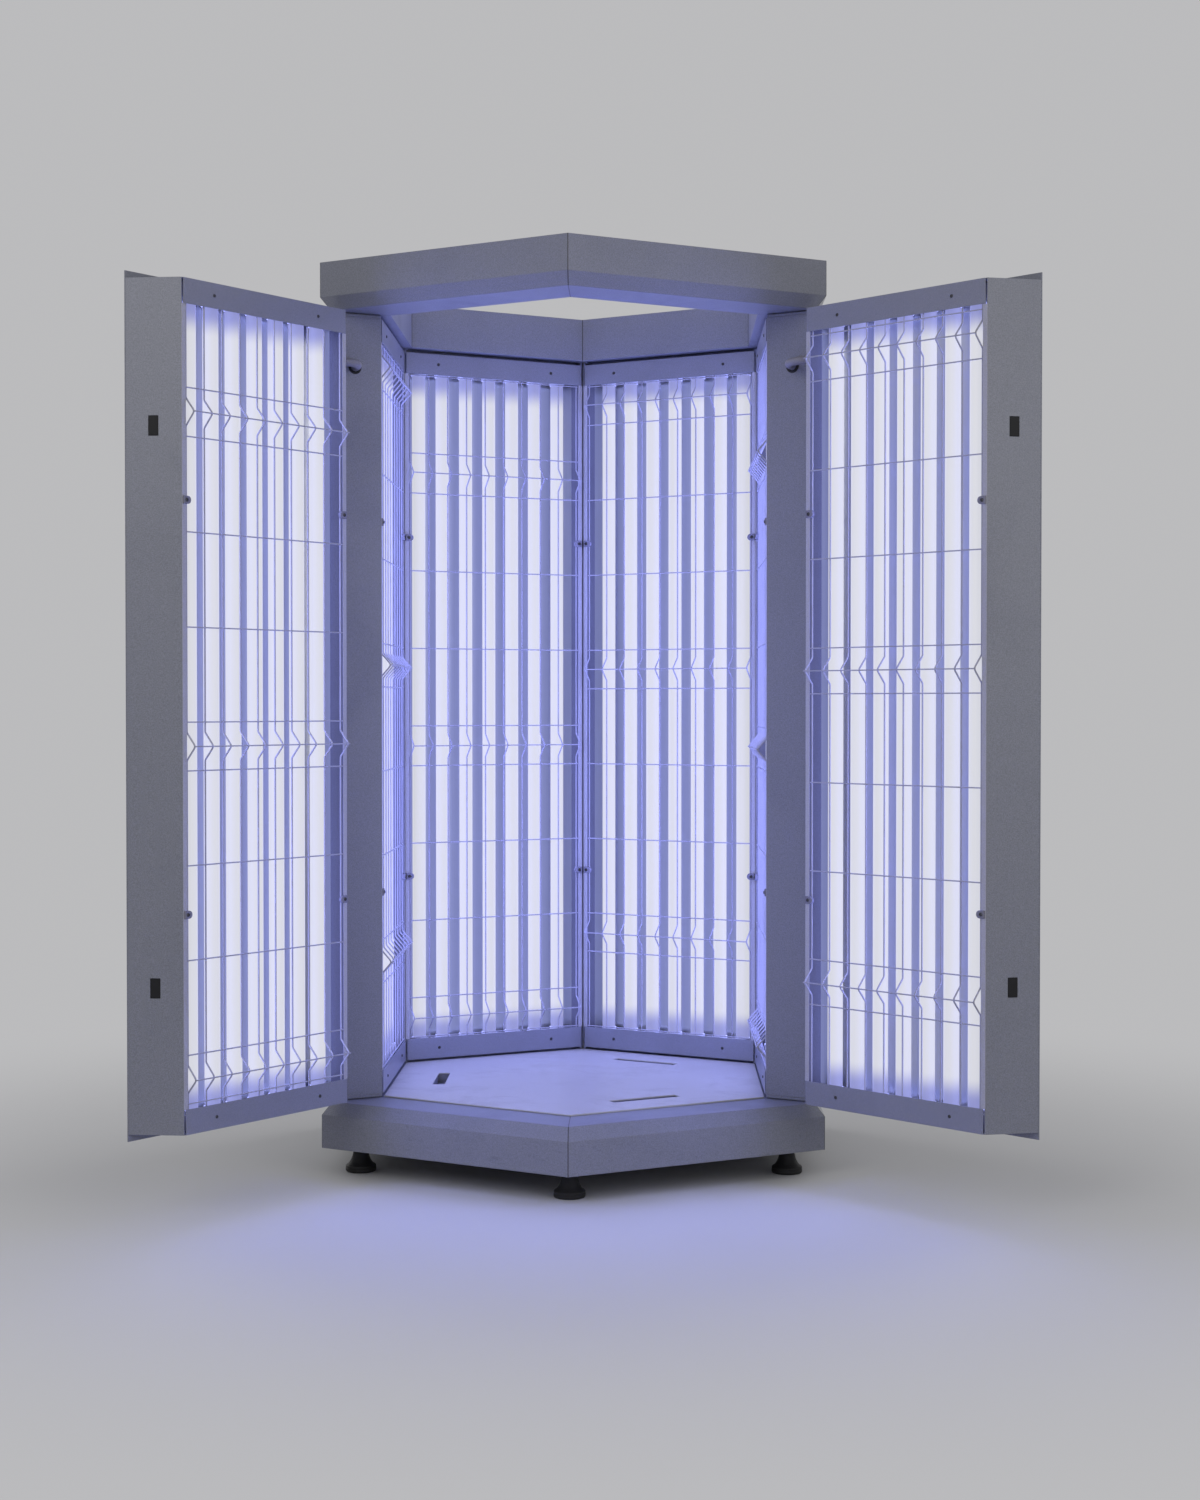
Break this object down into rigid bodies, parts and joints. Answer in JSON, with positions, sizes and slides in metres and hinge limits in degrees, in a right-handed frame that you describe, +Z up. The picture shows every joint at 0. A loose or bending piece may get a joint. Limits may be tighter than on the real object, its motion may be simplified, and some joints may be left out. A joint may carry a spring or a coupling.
{
  "type": "vertical tanning booth",
  "caption": "Hexagonal stand-up tanning booth: lamp panels behind bent wire guards on a low base under an open ring canopy, with two hinged lamp doors at the front.",
  "frame": {"origin": "on the ground, under the middle of the booth's box as it stands with both doors open", "axes": "+Z up; front of the booth, with the doors, towards -Y; +X to the right as seen from the front"},
  "size_m": [2.1396, 1.7332, 2.353],
  "materials": {
    "powder_coat": "fine textured powder coat, light grey",
    "strip_paint": "smooth light grey paint",
    "floor_white": "smooth white sheet",
    "bright_aluminium": "bright rolled aluminium reflector sheet",
    "lamp_glass": "white coated fluorescent tube, lit",
    "guard_wire": "white coated steel wire",
    "hinge_steel": "plain rolled steel",
    "black_rubber": "moulded black rubber",
    "black_ferrite": "black magnet in a plastic case",
    "grey_conduit": "flexible ribbed conduit",
    "ballast_tin": "zinc sheet and tin cases"
  },
  "bodies": {
    "cabinet": {"base_plinth": "powder_coat", "floor_plate": "floor_white", "ballast_tray": "ballast_tin", "canopy": "powder_coat", "left_wall_casing": "powder_coat", "right_wall_casing": "powder_coat", "rear_left_wall_casing": "powder_coat", "rear_right_wall_casing": "powder_coat", "left_wall_reflector": "bright_aluminium", "left_wall_lamp_bank": "lamp_glass", "left_wall_guard": "guard_wire", "left_wall_top_strip": "strip_paint", "left_wall_bottom_strip": "strip_paint", "right_wall_reflector": "bright_aluminium", "right_wall_lamp_bank": "lamp_glass", "right_wall_guard": "guard_wire", "right_wall_top_strip": "strip_paint", "right_wall_bottom_strip": "strip_paint", "rear_left_wall_reflector": "bright_aluminium", "rear_left_wall_lamp_bank": "lamp_glass", "rear_left_wall_guard": "guard_wire", "rear_left_wall_top_strip": "strip_paint", "rear_left_wall_bottom_strip": "strip_paint", "rear_right_wall_reflector": "bright_aluminium", "rear_right_wall_lamp_bank": "lamp_glass", "rear_right_wall_guard": "guard_wire", "rear_right_wall_top_strip": "strip_paint", "rear_right_wall_bottom_strip": "strip_paint", "left_hinge_fixed_leaf": "hinge_steel", "left_hinge_pin": "hinge_steel", "left_power_lead": "grey_conduit", "right_hinge_fixed_leaf": "hinge_steel", "right_hinge_pin": "hinge_steel", "right_power_lead": "grey_conduit"},
    "left_door": {"left_door_frame": "powder_coat", "left_door_skin": "powder_coat", "left_door_upper_magnet": "black_ferrite", "left_door_lower_magnet": "black_ferrite", "left_door_moving_leaf": "hinge_steel", "left_door_reflector": "bright_aluminium", "left_door_lamp_bank": "lamp_glass", "left_door_guard": "guard_wire", "left_door_top_strip": "strip_paint", "left_door_bottom_strip": "strip_paint"},
    "right_door": {"right_door_frame": "powder_coat", "right_door_skin": "powder_coat", "right_door_upper_magnet": "black_ferrite", "right_door_lower_magnet": "black_ferrite", "right_door_moving_leaf": "hinge_steel", "right_door_reflector": "bright_aluminium", "right_door_lamp_bank": "lamp_glass", "right_door_guard": "guard_wire", "right_door_top_strip": "strip_paint", "right_door_bottom_strip": "strip_paint"},
    "foot_front": {"foot_front": "black_rubber"},
    "foot_front_right": {"foot_front_right": "black_rubber"},
    "foot_rear_right": {"foot_rear_right": "black_rubber"},
    "foot_rear": {"foot_rear": "black_rubber"},
    "foot_rear_left": {"foot_rear_left": "black_rubber"},
    "foot_front_left": {"foot_front_left": "black_rubber"}
  },
  "joints": [
    {"name": "left_door_hinge", "type": "hinge", "parent": "cabinet", "child": "left_door", "pos_m": [-0.67683, -0.24886, 1.21], "axis": [0, 0, -1], "range_deg": [-94, 26], "deforming": ["left_power_lead"]},
    {"name": "right_door_hinge", "type": "hinge", "parent": "cabinet", "child": "right_door", "pos_m": [0.58717, -0.24886, 1.21], "axis": [0, 0, 1], "range_deg": [-103, 17], "deforming": ["right_power_lead"]},
    {"name": "foot_front_level", "type": "slide", "parent": "cabinet", "child": "foot_front", "axis": [0, 0, 1], "range_m": [-0.025, 0.0075]},
    {"name": "foot_front_right_level", "type": "slide", "parent": "cabinet", "child": "foot_front_right", "axis": [0, 0, 1], "range_m": [-0.025, 0.0075]},
    {"name": "foot_rear_right_level", "type": "slide", "parent": "cabinet", "child": "foot_rear_right", "axis": [0, 0, 1], "range_m": [-0.025, 0.0075]},
    {"name": "foot_rear_level", "type": "slide", "parent": "cabinet", "child": "foot_rear", "axis": [0, 0, 1], "range_m": [-0.025, 0.0075]},
    {"name": "foot_rear_left_level", "type": "slide", "parent": "cabinet", "child": "foot_rear_left", "axis": [0, 0, 1], "range_m": [-0.025, 0.0075]},
    {"name": "foot_front_left_level", "type": "slide", "parent": "cabinet", "child": "foot_front_left", "axis": [0, 0, 1], "range_m": [-0.025, 0.0075]}
  ]
}
